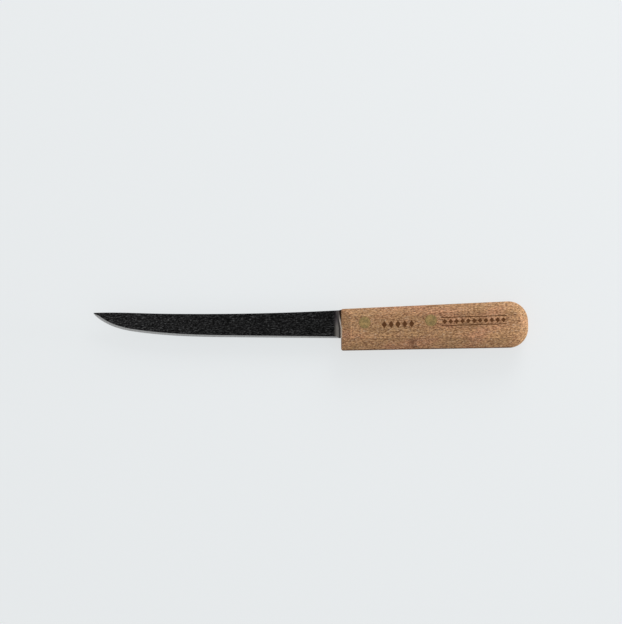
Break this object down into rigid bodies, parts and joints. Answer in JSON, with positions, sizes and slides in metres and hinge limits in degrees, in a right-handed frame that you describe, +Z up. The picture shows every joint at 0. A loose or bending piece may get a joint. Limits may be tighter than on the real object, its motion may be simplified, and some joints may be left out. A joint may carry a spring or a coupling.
{
  "type": "boning knife",
  "caption": "Narrow boning knife: dark ground steel blade with an upswept point, its partial tang riveted with brass into a saw slot in a flat-sided, bevelled wooden handle.",
  "frame": {"origin": "on the flat side of the handle that the knife rests on, on the handle's centreline, midway between the two rivets", "axes": "+X along the handle's centreline towards the butt (the tip is at -X), +Y across the knife towards the spine (the cutting edge is at -Y), +Z up, through the knife's thickness"},
  "size_m": [0.267, 0.0296, 0.019],
  "materials": {
    "blade_steel": "dark, finely speckled forge-black grind with a bright cutting bevel",
    "handle_wood": "oiled light-brown beech, satin",
    "rivet_brass": "dull, ground flush with the wood"
  },
  "bodies": {
    "root": {"blade": "blade_steel", "handle": "handle_wood", "front_rivet_tube": "rivet_brass", "front_rivet_pin": "rivet_brass", "rear_rivet_tube": "rivet_brass", "rear_rivet_pin": "rivet_brass"}
  },
  "joints": []
}
